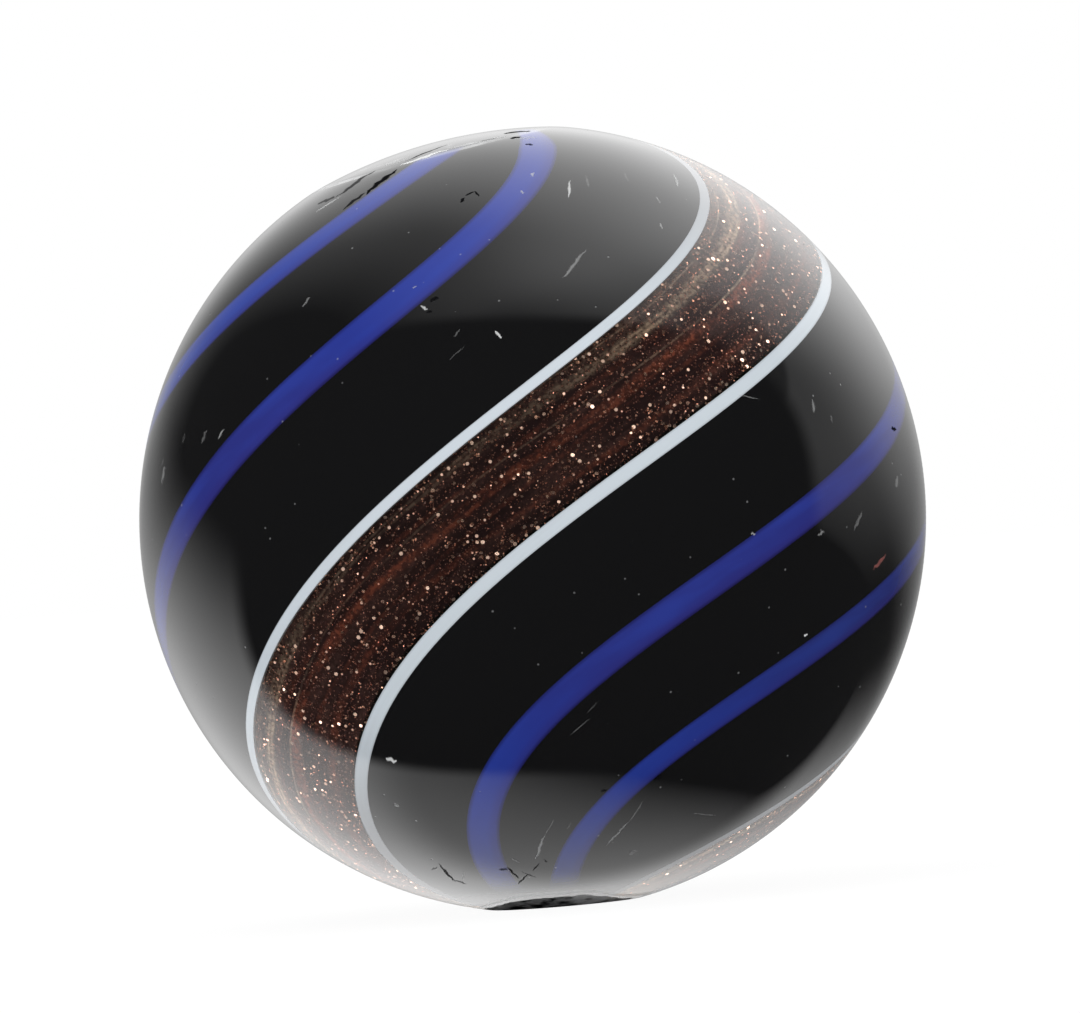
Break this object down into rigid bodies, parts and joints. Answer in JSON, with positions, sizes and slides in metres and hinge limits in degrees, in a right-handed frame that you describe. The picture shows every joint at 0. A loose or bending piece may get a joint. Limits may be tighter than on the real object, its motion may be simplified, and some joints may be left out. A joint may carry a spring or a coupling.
{
  "type": "glass marble",
  "caption": "Solid glass marble, a black ball with twisted blue strands and white-edged aventurine ribbons melted flush into it, standing on a small ground foot.",
  "frame": {"origin": "centre of the ground foot, on the surface that the marble stands on", "axes": "+Z along the axis about which the strands are twisted, from the foot to the crown; -Y is the front, which shows the ribbon with both of its white edges; +X is to the right of the front"},
  "size_m": [0.019, 0.019, 0.0188],
  "materials": {
    "black_glass": "gloss, fire-polished, with light play wear",
    "blue_glass": "gloss, opaque cobalt blue",
    "white_glass": "gloss, opaque white",
    "aventurine_glass": "gloss, dark brown with copper glitter"
  },
  "bodies": {
    "root": {"glass_ball": "black_glass", "blue_strand_1": "blue_glass", "blue_strand_2": "blue_glass", "blue_strand_3": "blue_glass", "blue_strand_4": "blue_glass", "white_strand_1": "white_glass", "white_strand_2": "white_glass", "white_strand_3": "white_glass", "white_strand_4": "white_glass", "aventurine_ribbon_1": "aventurine_glass", "aventurine_ribbon_2": "aventurine_glass"}
  },
  "joints": []
}
